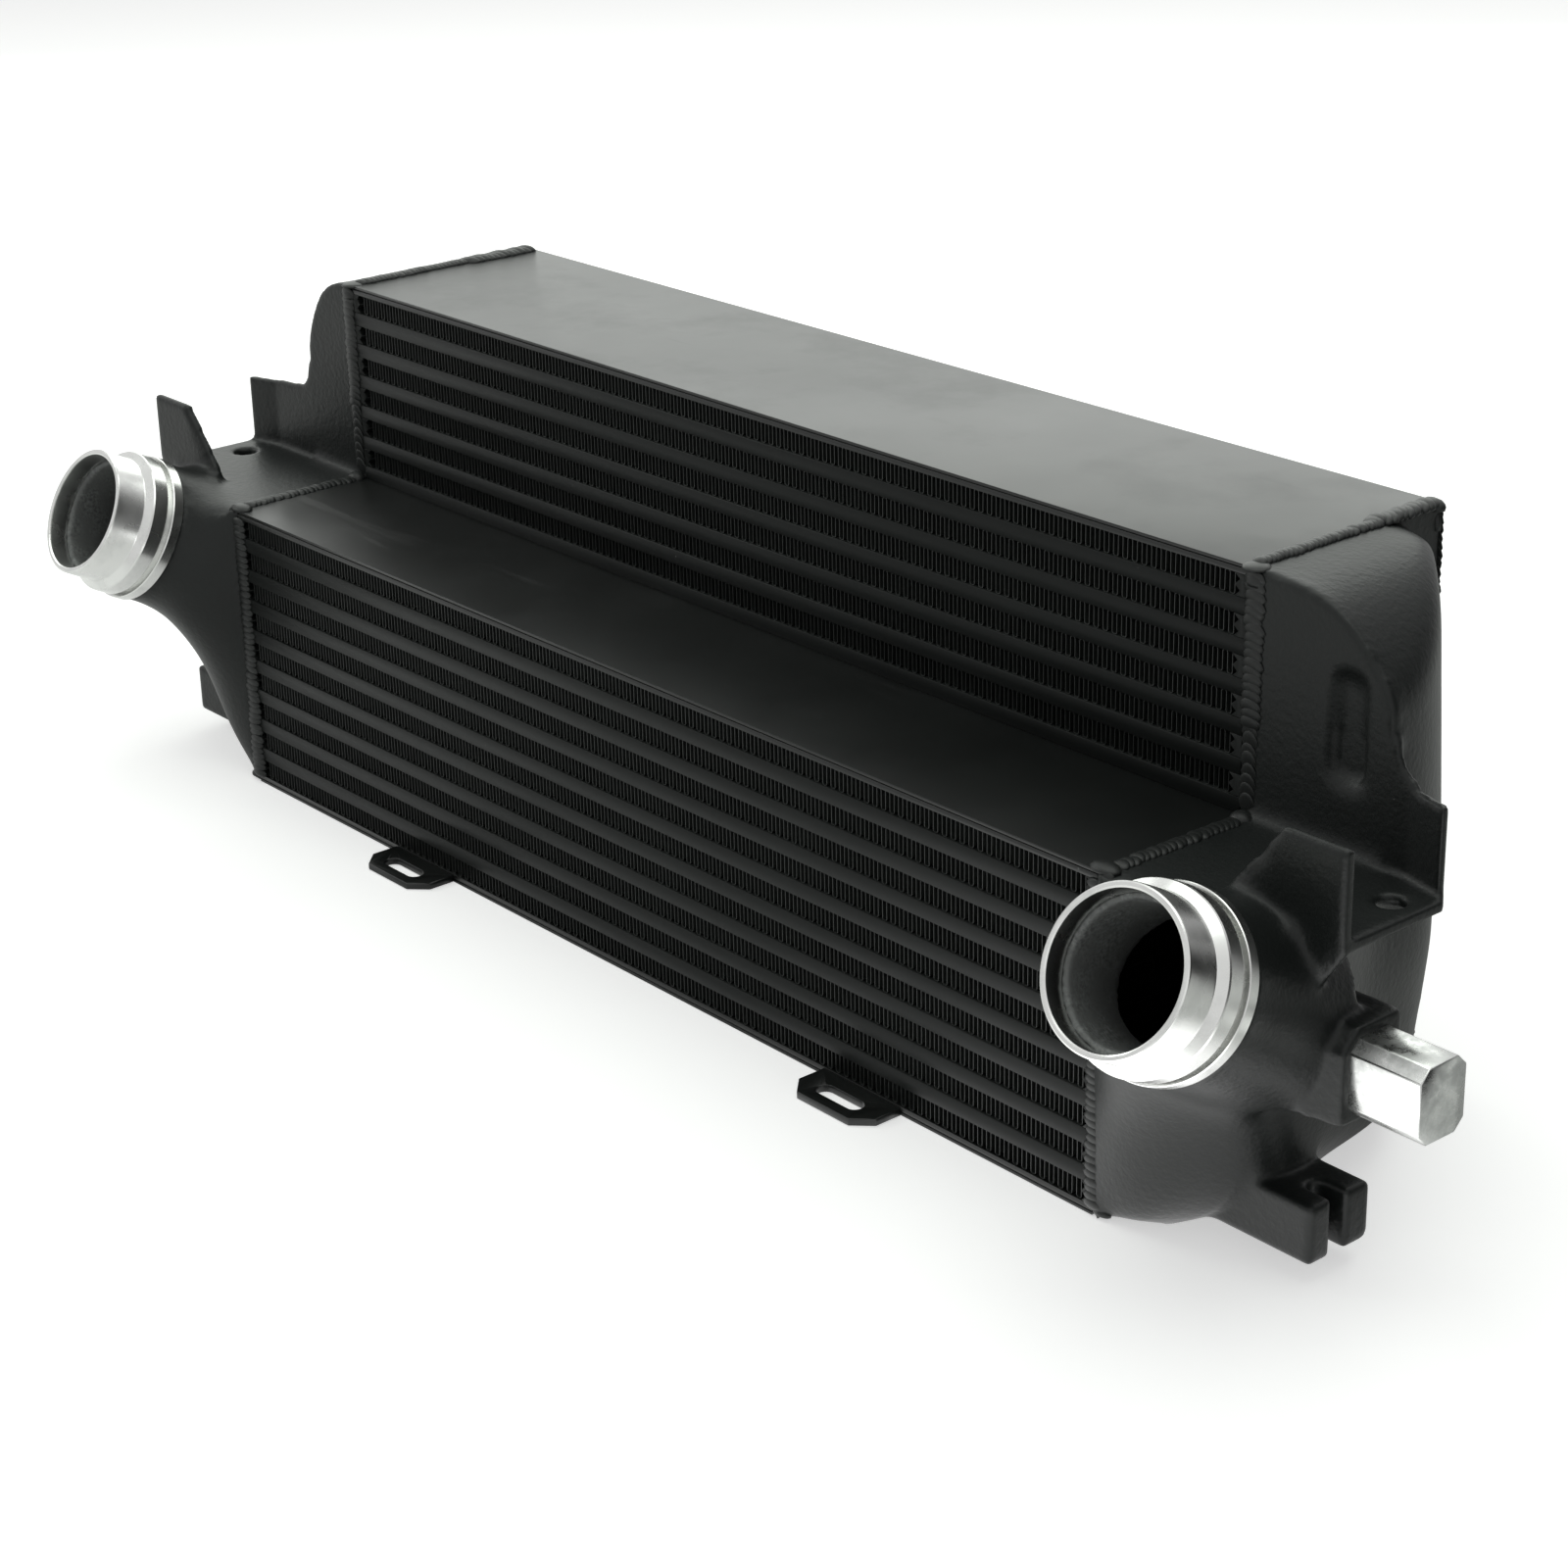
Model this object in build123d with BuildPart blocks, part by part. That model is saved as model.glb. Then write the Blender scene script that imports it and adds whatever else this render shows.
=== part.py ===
from build123d import *
from math import atan, cos, degrees, hypot, radians, sin
import os

# Stepped bar-and-plate intercooler: a brazed core with two cast end tanks.
# Millimetres. X runs along the tubes, -Y is the front face, +Z is up.
# The origin is the middle of the flat underside.

# ---- core ----
core_width = 523.0          # tube ends, left to right
core_depth = 164.0          # lower block, front to back
step_depth = 67.0           # how far the upper block stands back from the lower one
lower_rows = 9              # fin rows under the step
upper_rows = 6              # fin rows above the step
fin_height = 8.0            # clear height of a fin row
tube_height = 6.0           # outside height of a charge-air tube
plate_thickness = 3.5       # bottom, step and top plates

# ---- charge-air tubes ----
bar_width = 7.0             # long bars that close a tube at its front and back
sheet_thickness = 0.8       # parting sheets above and below the air space
web_thickness = 1.2         # turbulator webs between the parting sheets
lower_channels = 7          # air channels across a lower tube
upper_channels = 4          # air channels across an upper tube

# ---- fins and end bars ----
fin_gauge = 0.8             # folded strip
fin_waves = 11              # folds across the core
fin_setback = 0.8           # fin edge behind the face of the bars
end_bar_width = 5.5         # bar that closes a fin row at each end
end_bar_notch = 2.2         # depth of the two grooves in its inner face

# ---- cast end tanks ----
wall = 4.0                  # casting wall
flange = 1.0                # rim that is welded to the core
# height, reach beside the spout, front bulge, reach beside the step
right_sections = [
    (0.0, 23.0, 0.0, 21.0),
    (9.0, 39.0, 0.5, 36.5),
    (30.0, 56.0, 2.5, 52.0),
    (50.0, 60.0, 7.0, 56.0),
    (67.0, 64.0, 16.0, 58.5),
    (92.0, 72.0, 25.0, 60.5),
    (127.0, 80.0, 6.0, 61.5),
]
left_sections = [
    (0.0, 14.0, 0.0, 11.0),
    (11.0, 30.0, 0.5, 22.0),
    (30.0, 47.5, 2.5, 31.0),
    (50.0, 56.0, 7.0, 34.5),
    (67.0, 62.0, 16.0, 36.5),
    (92.0, 71.0, 25.0, 37.5),
    (127.0, 80.0, 6.0, 38.5),
]
bowl_height = 127.0         # height that the section tables are drawn for
widest_station = 22.0       # widest point of a section, behind the front face
crest_share = 0.55          # front crest, as a share of the reach
side_station = 0.443        # the rear wall turns in at these shares of its depth
side_share = 0.8            # and of its reach
rear_station = 0.69
rear_share = 0.45
rim_step = 1.0              # ledge of the rim behind the bowl
right_pod_reach = 63.0      # tank behind the step, beyond the core end
left_pod_reach = 40.0
roof_flat = 3.0             # level strip of its roof beside the core
pod_shoulder = 43.0         # height over which the roof rolls down into the side
roof_points = ((0.63, 0.16), (0.9, 0.52))  # on the way, shares of reach and of shoulder
pod_draft = 0.09            # how much hollower the rear wall is at the top
pod_overlap = 4.0           # depth by which it runs down over the bowl
air_overlap = 10.0          # and by how much more its air space does
top_round_depth = 36.0      # rounding of the upper rear corner
top_round_height = 56.0
dimple_width = 16.0         # thumb-shaped hollow in the right tank's upper face
dimple_height = 42.0
dimple_depth = 1.8
dimple_reach = 44.5
dimple_rise = 43.0          # its middle above the step
lap = 1.0                   # how far shapes that are joined or trimmed run past each other

# ---- spouts ----
spout_reach = 52.6          # lip centre beyond the core end
spout_forward = 46.4        # lip centre ahead of the front face
spout_drop = 1.8            # lip centre below the top of the step
spout_tilt = 27.8           # upward tilt of the axis
spout_splay = 2.9           # outward turn of the axis
spout_radius = 28.0         # hose seat
spout_bore = 25.4
spout_length = 31.0
lip_chamfer = 0.8
shoulder_start = 13.5       # from the lip to the foot of the shoulder
shoulder_slope = 3.0
shoulder_radius = 31.6
clip_groove = 23.4          # from the lip to the clip groove
clip_groove_width = 2.4
clip_groove_depth = 1.8
collar_radius = 32.4
neck_radius = 31.4          # cast neck behind the collar
neck_root_radius = 35.0
neck_length = 52.0          # neck and its root, behind the collar
neck_bore = 23.4
neck_bore_length = 75.0     # from the lip to the air space
neck_tube_radius = 26.4     # cast tube that the spout sleeve slides over
neck_tube_start = 8.5       # from the lip to the end of that tube

# ---- brackets cast on the tank ----
bracket_reach = 90.0        # outer edge of shelf and rib
ear_reach = 87.5
shelf_thickness = 4.4
shelf_front = 15.0          # front edge, behind the front face
shelf_corner = 4.0          # taken off the outer rear corner
shelf_hole = 10.0
right_hole_reach = 79.0     # bolt hole beyond the core end
left_hole_reach = 75.0
shelf_hole_back = 50.6
rib_thickness = 4.0
rib_height = 31.0           # above the shelf
rib_top = 25.8              # flat top of the rib
rib_foot = 41.0             # where its slope meets the neck
rib_foot_rise = 3.0
rib_gusset = 26.0           # how far it runs down under the shelf
rib_gusset_back = 15.0      # and how far its lower corner stands back
cast_round = 1.5            # rounding of cast corners
ear_thickness = 3.2
ear_height = 31.0
ear_fold = 17.0             # outer part of the ear, folded forward
ear_fold_depth = 3.8
ear_root = 10.0             # overlap with the tank behind the step
ear_sweep_gap = 2.0         # foot of the curve that sweeps up the tank
ear_sweep_width = 8.0
ear_sweep_height = 14.0
ear_slope = 1.0             # fall of its top edge outwards
lug_front = 18.0            # behind the front face
lug_depth = 29.0
lug_reach = 80.0
lug_root = 20.0
lug_base = 7.6
lug_height = 21.6
lug_slot = 7.0
lug_slot_length = 13.0
lug_prong = 10.0            # prong in front of the slot
lug_bevel = 2.0             # bevel of its rear corners
boss_front = 17.5
boss_depth = 28.0
boss_base = 62.0
boss_height = 33.5
boss_reach = 90.5
boss_root = 44.0
boss_slope = 7.0            # slope between its top and its front
boss_corner = 2.0           # its other long corners
peg_width = 22.0
peg_height = 27.0
peg_front = 20.5            # behind the front face
peg_base = 65.0
peg_chamfer = 4.2
peg_reach = 118.5
peg_socket = 12.0           # depth of the peg in its boss

# ---- front tabs and weld beads ----
tab_width = 42.0
tab_reach = 19.0
tab_thickness = 3.0
tab_corner = 7.0
tab_slot_length = 23.0
tab_slot_width = 7.0
tab_slot_centre = 10.5      # ahead of the front face
right_tab_x = 145.0
left_tab_x = -132.0
bead_width = 7.0
bead_height = 2.0
bead_inset = 1.0            # middle of the bead, inside the core end

# ---- values worked out from the driving dimensions ----
core_end = core_width / 2
front = -core_depth / 2
back = core_depth / 2
step_face = front + step_depth
upper_depth = core_depth - step_depth
upper_centre = (step_face + back) / 2
pitch = fin_height + tube_height
step_bottom = plate_thickness + lower_rows * pitch - tube_height
step_top = step_bottom + plate_thickness
top_bottom = step_top + upper_rows * pitch
top = top_bottom + plate_thickness
fin_width = core_width - 2 * end_bar_width

os.makedirs("parts", exist_ok=True)


def save(piece, name):
    """Label a finished piece and write it to its own file."""
    piece.label = name
    export_step(piece, f"parts/{name}.step")


def from_left(piece):
    """The other hand of a piece."""
    return mirror(piece, about=Plane.YZ)


# ---- plates ----
def plate(depth, centre, bottom):
    """A flat plate over the whole width of the core."""
    with BuildPart() as sheet:
        with BuildSketch(Plane.XY.offset(bottom)):
            with Locations((0, centre)):
                Rectangle(core_width, depth)
        extrude(amount=plate_thickness)
    return sheet.part


save(plate(core_depth, 0, 0), "bottom_plate")
save(plate(core_depth, 0, step_bottom), "step_plate")
save(plate(upper_depth, upper_centre, top_bottom), "top_plate")


# ---- charge-air tubes ----
def charge_tube(depth, centre, bottom, channels):
    """A flat tube: two long bars, two parting sheets and the webs between them."""
    channel_pitch = (depth - 2 * bar_width + web_thickness) / channels
    with BuildPart() as tube:
        with BuildSketch(Plane.YZ.offset(-core_end)):
            with Locations((centre, bottom + tube_height / 2)):
                Rectangle(depth, tube_height)
                with GridLocations(channel_pitch, 1, channels, 1):
                    Rectangle(
                        channel_pitch - web_thickness,
                        tube_height - 2 * sheet_thickness,
                        mode=Mode.SUBTRACT,
                    )
        extrude(amount=core_width)
    return tube.part


# ---- folded fins ----
def folded_fin(depth, centre, bottom):
    """A strip folded into square waves that seat on the sheets above and below."""
    half_wave = fin_width / (2 * fin_waves)
    low = bottom + fin_gauge / 2
    high = bottom + fin_height - fin_gauge / 2
    corners = []
    for fold in range(2 * fin_waves):
        x = -fin_width / 2 + fin_gauge / 2 + fold * half_wave
        levels = (low, high) if fold % 2 == 0 else (high, low)
        corners += [(x, level) for level in levels]
    corners.append((fin_width / 2 - fin_gauge / 2, low))
    with BuildPart() as fin:
        with BuildSketch(Plane.XZ.offset(-(centre + depth / 2 - fin_setback))):
            with BuildLine():
                Polyline(*corners)
            trace(line_width=fin_gauge)
        extrude(amount=depth - 2 * fin_setback)
    return fin.part


# ---- end bars ----
def end_bars(depth, centre, bottom):
    """The two bars that close a fin row, each with two grooves in its inner face."""
    inner = core_end - end_bar_width
    quarter = fin_height / 4
    outline = [
        (core_end, bottom),
        (core_end, bottom + fin_height),
        (inner, bottom + fin_height),
        (inner + end_bar_notch, bottom + 3 * quarter),
        (inner, bottom + 2 * quarter),
        (inner + end_bar_notch, bottom + quarter),
        (inner, bottom),
    ]
    with BuildPart() as bars:
        with BuildSketch(Plane.XZ.offset(-(centre + depth / 2))):
            with BuildLine():
                Polyline(*outline, close=True)
            make_face()
        extrude(amount=depth)
        mirror(about=Plane.YZ)
    return bars.part


for row in range(lower_rows):
    fin_bottom = plate_thickness + row * pitch
    save(folded_fin(core_depth, 0, fin_bottom), f"lower_fin_{row + 1}")
    save(end_bars(core_depth, 0, fin_bottom), f"lower_end_bars_{row + 1}")
    if row < lower_rows - 1:
        lower_tube = charge_tube(core_depth, 0, fin_bottom + fin_height, lower_channels)
        save(lower_tube, f"lower_tube_{row + 1}")

for row in range(upper_rows):
    tube_bottom = step_top + row * pitch
    upper_tube = charge_tube(upper_depth, upper_centre, tube_bottom, upper_channels)
    save(upper_tube, f"upper_tube_{row + 1}")
    fin_bottom = tube_bottom + tube_height
    save(folded_fin(upper_depth, upper_centre, fin_bottom), f"upper_fin_{row + 1}")
    save(end_bars(upper_depth, upper_centre, fin_bottom), f"upper_end_bars_{row + 1}")

# ---- spout axis, on the right-hand side ----
lip_centre = Vector(core_end + spout_reach, front - spout_forward, step_top - spout_drop)
spout_axis = Vector(
    sin(radians(spout_splay)) * cos(radians(spout_tilt)),
    -cos(radians(spout_splay)) * cos(radians(spout_tilt)),
    sin(radians(spout_tilt)),
)


def down_spout(distance):
    """A plane across the spout, this far behind its lip and facing back into the tank."""
    return Plane(origin=lip_centre - spout_axis * distance, z_dir=-spout_axis)


# ---- end tanks, drawn for the right-hand side ----
def rear_wall(reach, face, rear, hollow=0.0):
    """Points of the wall that sweeps from beside the step round to the back."""
    depth = rear - face
    return [
        (core_end + reach, face),
        (core_end + (side_share - hollow) * reach, face + side_station * depth),
        (core_end + (rear_share - hollow) * reach, face + rear_station * depth),
        (core_end, rear),
    ]


def bowl(sections, inset):
    """The tank below the step, drawn in by a wall for its air space."""
    squeeze = (step_top - 2 * inset) / bowl_height
    with BuildPart() as body:
        for height, reach, bulge, step_reach in sections:
            with BuildSketch(Plane.XY.offset(inset + height * squeeze)):
                with BuildLine():
                    points = [
                        (core_end, front + inset),
                        (core_end + crest_share * reach, front - bulge + inset),
                        (core_end + reach - inset, front + widest_station),
                        *rear_wall(step_reach - inset, step_face + inset, back - rim_step - inset),
                    ]
                    Spline(*points)
                    Line(points[-1], points[0])
                make_face()
        loft()
    return body.part


def pod(pod_reach, inset):
    """The tank behind the step: a rolled roof cut to the curve of the rear wall."""
    bottom = step_top - pod_overlap - air_overlap * inset / wall
    reach = pod_reach - inset
    roof = top - inset
    rear = back - inset
    face = step_face + inset
    outer = core_end + reach + lap  # clear of the rear wall, which trims it
    through = [
        (core_end + across * reach, roof - down * pod_shoulder) for across, down in roof_points
    ]
    with BuildPart() as body:
        with BuildSketch(Plane.XZ.offset(-rear)):
            with BuildLine():
                Polyline(
                    (core_end + roof_flat, roof), (core_end, roof), (core_end, bottom),
                    (outer, bottom), (outer, roof - pod_shoulder),
                )
                Spline(
                    (core_end + roof_flat, roof), *through, (outer, roof - pod_shoulder),
                    tangents=[(1, -0.05), (0.08, -1)],
                )
            make_face()
        extrude(amount=rear - face)
    with BuildPart() as plan:
        for height, hollow in ((bottom, 0.0), (top, pod_draft)):
            with BuildSketch(Plane.XY.offset(height)):
                with BuildLine():
                    points = rear_wall(reach, face, rear, hollow)
                    Spline(*points)
                    Polyline(points[-1], (core_end, face), points[0])
                make_face()
        loft()
    with BuildPart() as side:
        with BuildSketch(Plane.YZ.offset(core_end)):
            with BuildLine():
                Polyline(
                    (rear - top_round_depth, roof), (face, roof), (face, bottom),
                    (rear, bottom), (rear, roof - top_round_height),
                )
                EllipticalCenterArc(
                    (rear - top_round_depth, roof - top_round_height),
                    top_round_depth, top_round_height, arc_size=90,
                )
            make_face()
        extrude(amount=pod_reach + lap)
    with BuildPart() as trimmed:
        add(body.part)
        add(plan.part, mode=Mode.INTERSECT)
        add(side.part, mode=Mode.INTERSECT)
    return trimmed.part


def block(x0, x1, y0, y1, z0, z1):
    """A plain block between two corners, kept for joining to a casting."""
    with BuildPart() as body:
        with BuildSketch(Plane.XY.offset(z0)):
            with Locations(((x0 + x1) / 2, (y0 + y1) / 2)):
                Rectangle(x1 - x0, y1 - y0)
        extrude(amount=z1 - z0)
    return body.part


def front_rib():
    """The upright rib beside the spout, running down to the neck."""
    outer = core_end + bracket_reach
    crown = step_top + rib_height
    rear = front + shelf_front + rib_thickness
    with BuildPart() as rib:
        with BuildSketch(Plane.XZ.offset(-rear)):
            with BuildLine():
                Polyline(
                    (outer, step_top - shelf_thickness), (outer, crown),
                    (outer - rib_top, crown), (core_end + rib_foot, step_top + rib_foot_rise),
                    (core_end + rib_foot, step_top - rib_gusset),
                    (outer - rib_gusset_back, step_top - rib_gusset), close=True,
                )
            make_face()
        extrude(amount=rib_thickness)
        fillet(rib.edges().filter_by(Axis.Y).group_by(Axis.Z)[-1], cast_round)
    return rib.part


def rear_ear(pod_reach):
    """The upright ear beside the step, its outer part folded forward."""
    outer = core_end + ear_reach
    fold = outer - ear_fold
    root = core_end + pod_reach - ear_root
    rear = step_face + ear_thickness
    crown = step_top + ear_height
    sweep_in = core_end + pod_reach + ear_sweep_gap
    sweep_out = sweep_in + ear_sweep_width
    with BuildPart() as ear:
        with BuildSketch(Plane.XY.offset(step_top - shelf_thickness)):
            with BuildLine():
                Polyline(
                    (root, step_face), (fold, step_face), (outer, step_face - ear_fold_depth),
                    (outer, rear - ear_fold_depth), (fold, rear), (root, rear),
                    close=True,
                )
            make_face()
        extrude(amount=2 * ear_height)
        with BuildSketch(Plane.XZ.offset(-rear)):
            with BuildLine():
                Polyline(
                    (root, step_top - shelf_thickness), (outer, step_top - shelf_thickness),
                    (outer, crown - ear_slope), (fold, crown), (sweep_out, crown + 2 * ear_slope),
                )
                Spline(
                    (sweep_out, crown + 2 * ear_slope), (sweep_in, crown + ear_sweep_height),
                    tangents=[(-1, 0.2), (-0.1, 1)],
                )
                Polyline(
                    (sweep_in, crown + ear_sweep_height), (root, crown + ear_sweep_height),
                    (root, step_top - shelf_thickness),
                )
            make_face()
        extrude(amount=ear_thickness + ear_fold_depth + lap, mode=Mode.INTERSECT)
    return ear.part


def slotted_lug():
    """The lower fork that straddles a bracket."""
    slot_middle = front + lug_front + lug_prong + lug_slot / 2
    with BuildPart() as lug:
        add(block(core_end + lug_root, core_end + lug_reach, front + lug_front,
                  front + lug_front + lug_depth, lug_base, lug_base + lug_height))
        chamfer(lug.edges().filter_by(Axis.X).group_by(Axis.Y)[-1], lug_bevel)
        fillet(lug.edges().filter_by(Axis.Y).group_by(Axis.X)[-1], cast_round)
        with BuildSketch(Plane.XY.offset(lug_base)):
            with Locations((core_end + lug_reach, slot_middle)):
                SlotCenterToCenter(2 * (lug_slot_length - lug_slot / 2), lug_slot)
        extrude(amount=lug_height, mode=Mode.SUBTRACT)
    return lug.part


def peg_outline():
    """Section of the peg: a flat bar with its corners taken off."""
    with Locations((front + peg_front + peg_width / 2, peg_base + peg_height / 2)):
        outline = Rectangle(peg_width, peg_height)
    chamfer(outline.vertices(), peg_chamfer)


def peg_boss():
    """The block that holds the peg, its upper front corner sloped."""
    with BuildPart() as boss:
        add(block(core_end + boss_root, core_end + boss_reach, front + boss_front,
                  front + boss_front + boss_depth, boss_base, boss_base + boss_height))
        along = boss.edges().filter_by(Axis.X)
        sloped = along.sort_by(Axis.Y)[:2].sort_by(Axis.Z)[-1]
        others = [edge for edge in along if edge != sloped]
        chamfer(sloped, boss_slope)
        chamfer(others, boss_corner)
    return boss.part


def bracket_shelf():
    """The level shelf between rib and ear."""
    with BuildPart() as shelf:
        add(block(core_end, core_end + bracket_reach, front + shelf_front,
                  step_face, step_top - shelf_thickness, step_top))
        outer = shelf.edges().filter_by(Axis.Z).group_by(Axis.X)[-1]
        chamfer(outer.sort_by(Axis.Y)[-1], shelf_corner)
    return shelf.part


def end_tank(sections, pod_reach, hole_reach, dimpled):
    """A hollow casting: bowl, pod, rim, spout neck and the brackets on it."""
    with BuildPart() as tank:
        add(bowl(sections, 0))
        add(pod(pod_reach, 0))
        with BuildSketch(Plane.YZ.offset(core_end)):
            with Locations((0, step_top / 2)):
                Rectangle(core_depth, step_top)
            with Locations((upper_centre, (step_bottom + top) / 2)):
                Rectangle(upper_depth, top - step_bottom)
        extrude(amount=flange)
        with BuildSketch(down_spout(spout_length)):
            Circle(neck_radius)
        with BuildSketch(down_spout(spout_length + neck_length)):
            Circle(neck_root_radius)
        loft()
        with BuildSketch(down_spout(neck_tube_start)):
            Circle(neck_tube_radius)
        extrude(amount=spout_length - neck_tube_start + lap)
        add(bracket_shelf())
        add(front_rib())
        add(rear_ear(pod_reach))
        add(slotted_lug())
        add(peg_boss())
        # air space
        add(bowl(sections, wall), mode=Mode.SUBTRACT)
        add(pod(pod_reach, wall), mode=Mode.SUBTRACT)
        with BuildSketch(down_spout(0)):
            Circle(neck_bore)
        extrude(amount=neck_bore_length, mode=Mode.SUBTRACT)
        # bracket hole and peg socket
        with BuildSketch(Plane.XY.offset(step_top - shelf_thickness)):
            with Locations((core_end + hole_reach, front + shelf_hole_back)):
                Circle(shelf_hole / 2)
        extrude(amount=shelf_thickness, mode=Mode.SUBTRACT)
        with BuildSketch(Plane.YZ.offset(core_end + boss_reach - peg_socket)):
            peg_outline()
        extrude(amount=peg_socket, mode=Mode.SUBTRACT)
        if dimpled:
            with BuildSketch(Plane.XZ.offset(-step_face - dimple_depth)):
                with Locations((core_end + dimple_reach, step_top + dimple_rise)):
                    SlotOverall(dimple_height, dimple_width, rotation=90)
            extrude(amount=dimple_depth, mode=Mode.SUBTRACT)
    return tank.part


right_tank = end_tank(right_sections, right_pod_reach, right_hole_reach, True)
left_tank = from_left(end_tank(left_sections, left_pod_reach, left_hole_reach, False))
save(right_tank, "right_end_tank")
save(left_tank, "left_end_tank")

# ---- machined spouts ----
spout_plane = Plane(
    origin=lip_centre, x_dir=-spout_axis, z_dir=spout_axis.cross(Vector(0, 0, 1))
)
groove_end = clip_groove + clip_groove_width
groove_radius = shoulder_radius - clip_groove_depth

with BuildPart() as right_spout:
    with BuildSketch(spout_plane):
        with BuildLine():
            Polyline(
                (0, spout_bore + lip_chamfer), (0, spout_radius - lip_chamfer),
                (lip_chamfer, spout_radius), (shoulder_start, spout_radius),
                (shoulder_start + shoulder_slope, shoulder_radius),
                (clip_groove, shoulder_radius), (clip_groove, groove_radius),
                (groove_end, groove_radius), (groove_end, collar_radius),
                (spout_length - lip_chamfer, collar_radius),
                (spout_length, collar_radius - lip_chamfer),
                (spout_length, neck_tube_radius), (neck_tube_start, neck_tube_radius),
                (neck_tube_start, spout_bore), (lip_chamfer, spout_bore),
                close=True,
            )
        make_face()
    revolve(axis=Axis(lip_centre, spout_axis))

save(right_spout.part, "right_spout")
save(from_left(right_spout.part), "left_spout")

# ---- mounting pegs ----
with BuildPart() as right_peg:
    with BuildSketch(Plane.YZ.offset(core_end + boss_reach - peg_socket)):
        peg_outline()
    extrude(amount=peg_reach - boss_reach + peg_socket)

save(right_peg.part, "right_mounting_peg")
save(from_left(right_peg.part), "left_mounting_peg")


# ---- slotted tabs on the front of the bottom plate ----
def front_tab(x):
    """A flat tab, welded edge to edge on the bottom plate, with its corners cut off."""
    with BuildPart() as tab:
        with BuildSketch():
            with Locations((x, front - tab_reach / 2)):
                outline = Rectangle(tab_width, tab_reach)
            chamfer(outline.vertices().group_by(Axis.Y)[0], tab_corner)
            with Locations((x, front - tab_slot_centre)):
                SlotOverall(tab_slot_length, tab_slot_width, mode=Mode.SUBTRACT)
        extrude(amount=tab_thickness)
    return tab.part


save(front_tab(right_tab_x), "right_front_tab")
save(front_tab(left_tab_x), "left_front_tab")


# ---- weld beads between core and tanks ----
def weld_bead(tank):
    """A low crowned bead along the joint, over the front, the step, the top and the back."""
    x = core_end - bead_inset
    with BuildPart() as bead:
        with BuildLine(Plane.YZ.offset(x)) as joint:
            Polyline(
                (front, 0), (front, step_top), (step_face, step_top),
                (step_face, top), (back, top), (back, 0),
            )
        with BuildSketch(Plane(origin=(x, front, 0), x_dir=(1, 0, 0), z_dir=(0, 0, 1))):
            with BuildLine():
                ThreePointArc(
                    (-bead_width / 2, 0), (0, -bead_height), (bead_width / 2, 0)
                )
                Line((bead_width / 2, 0), (-bead_width / 2, 0))
            make_face()
        sweep(path=joint.wire(), transition=Transition.RIGHT)
        add(tank, mode=Mode.SUBTRACT)
    return bead.solids().sort_by(SortBy.VOLUME)[-1]  # the piece outside the tank


right_bead = weld_bead(right_tank)
left_bead = from_left(weld_bead(from_left(left_tank)))
save(right_bead, "right_weld_bead")
save(left_bead, "left_weld_bead")
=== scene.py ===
from math import cos, pi, radians, sin

import bmesh
import bpy
import numpy as np
from mathutils import Matrix, Vector


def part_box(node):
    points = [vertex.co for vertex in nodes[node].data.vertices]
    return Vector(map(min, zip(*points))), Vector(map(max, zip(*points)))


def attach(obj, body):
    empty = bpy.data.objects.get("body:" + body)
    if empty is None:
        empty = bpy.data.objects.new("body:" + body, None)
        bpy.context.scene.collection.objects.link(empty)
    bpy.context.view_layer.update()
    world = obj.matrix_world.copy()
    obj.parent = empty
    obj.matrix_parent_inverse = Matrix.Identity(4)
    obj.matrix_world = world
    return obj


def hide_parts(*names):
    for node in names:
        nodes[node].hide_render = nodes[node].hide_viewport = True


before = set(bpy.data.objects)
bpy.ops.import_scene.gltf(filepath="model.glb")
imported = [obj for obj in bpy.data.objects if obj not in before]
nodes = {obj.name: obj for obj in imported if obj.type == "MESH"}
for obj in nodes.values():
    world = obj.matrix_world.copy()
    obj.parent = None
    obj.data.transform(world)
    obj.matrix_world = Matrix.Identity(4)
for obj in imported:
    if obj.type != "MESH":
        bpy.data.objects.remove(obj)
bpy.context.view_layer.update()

# Stepped intercooler. Metres, +X to the right-hand tank, -Y the front, +Z up.
bpy.ops.object.select_all(action="DESELECT")

MM = 0.001
rng = np.random.default_rng(7)

# ---- places read from the frame ----
CORE_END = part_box("bottom_plate")[1].x
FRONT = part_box("bottom_plate")[0].y
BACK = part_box("bottom_plate")[1].y
STEP_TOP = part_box("step_plate")[1].z
STEP_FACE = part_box("top_plate")[0].y
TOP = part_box("top_plate")[1].z
HAND = {"right": 1, "left": -1}

# ---- the machined spout's own sizes ----
SPOUT_TILT = radians(27.8)
SPOUT_SPLAY = radians(2.9)
LIP_REACH = CORE_END + 52.6 * MM
LIP_Y = FRONT - 46.4 * MM
LIP_Z = STEP_TOP - 1.8 * MM
NECK_END = 31 * MM          # back of the sleeve, behind the lip
BORE_RADIUS = 23.4 * MM


def spout_axis(side):
    """Middle of a spout's lip and the direction out of it."""
    hand = HAND[side]
    level = cos(SPOUT_TILT)
    axis = Vector((hand * sin(SPOUT_SPLAY) * level, -cos(SPOUT_SPLAY) * level, sin(SPOUT_TILT)))
    return Vector((hand * LIP_REACH, LIP_Y, LIP_Z)), axis


# ================= materials =================
def new_material(name):
    """A material with its tree, its Principled shader and object coordinates."""
    material = bpy.data.materials.new(name)
    material.use_nodes = True
    tree = material.node_tree
    place = tree.nodes.new("ShaderNodeTexCoord")
    return material, tree, tree.nodes["Principled BSDF"], place.outputs["Object"]


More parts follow.
